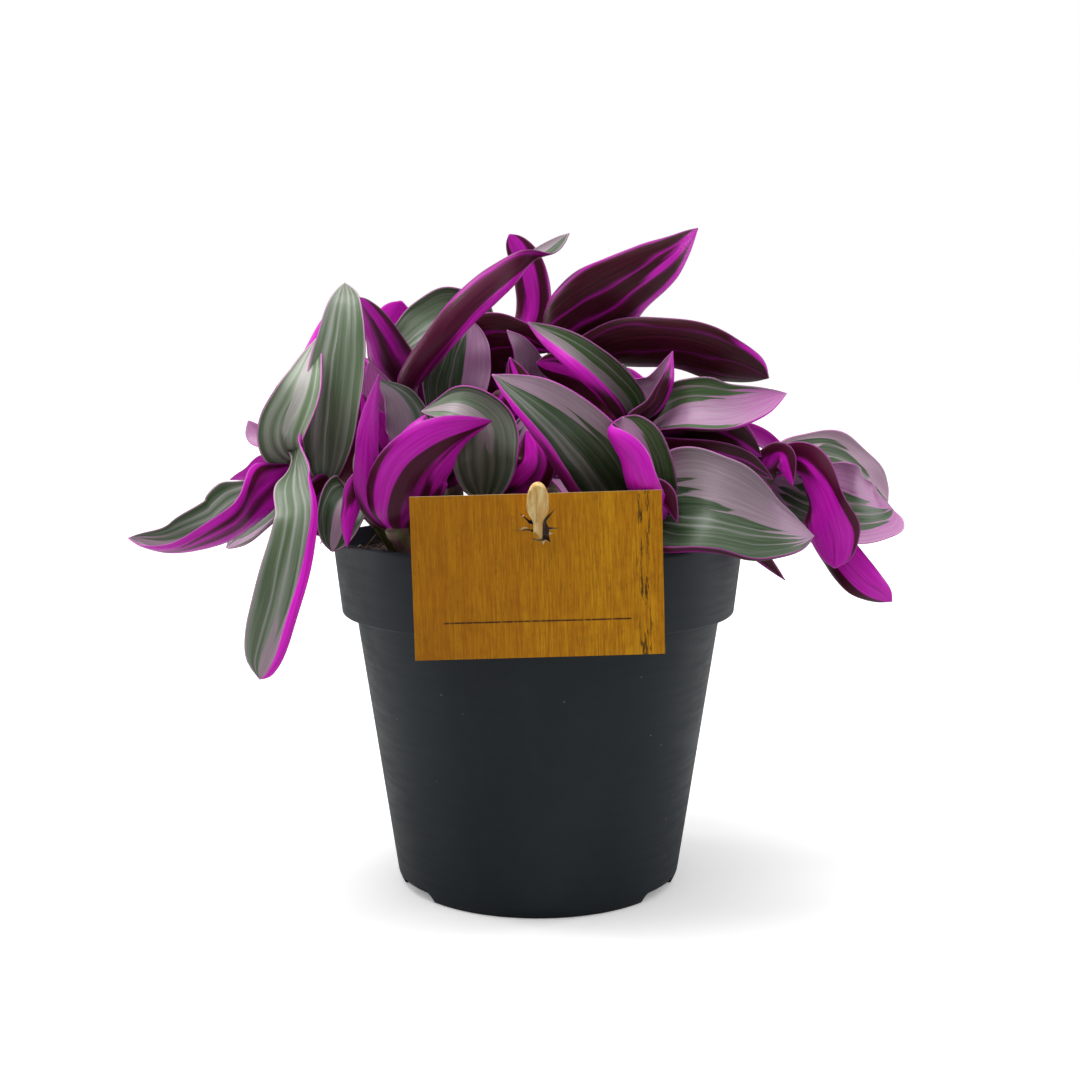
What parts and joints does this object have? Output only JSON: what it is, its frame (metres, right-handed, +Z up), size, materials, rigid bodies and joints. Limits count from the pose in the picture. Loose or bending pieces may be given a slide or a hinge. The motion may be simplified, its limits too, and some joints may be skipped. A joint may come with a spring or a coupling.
{
  "type": "potted tradescantia",
  "caption": "Potted tradescantia: leafy striped shoots in a round plastic nursery pot with a plain wooden name card held by a stick.",
  "frame": {"origin": "centre of the pot's base, on the surface it stands on", "axes": "+Z up along the pot's axis, +X to the right and -Y to the front, where the name card is"},
  "size_m": [0.2202, 0.1422, 0.1926],
  "materials": {
    "pot_plastic": "dark blue-grey satin plastic with faint dust and scratches",
    "potting_mix": null,
    "foliage": "satin leaves: silver and green stripes with a pink flush above, magenta and maroon below",
    "card_wood": "golden brown wood with fine upright grain, bare of text",
    "stick_wood": "pale raw wood"
  },
  "bodies": {
    "root": {"pot": "pot_plastic", "soil": "potting_mix", "shoot_left": "foliage", "shoot_front_left": "foliage", "shoot_centre": "foliage", "shoot_top_left": "foliage", "shoot_top_centre": "foliage", "shoot_top_right": "foliage", "shoot_right": "foliage", "shoot_front_right": "foliage", "shoot_far_right": "foliage", "shoot_back_left": "foliage", "shoot_back": "foliage", "shoot_back_right": "foliage", "card": "card_wood", "stick": "stick_wood"}
  },
  "joints": []
}
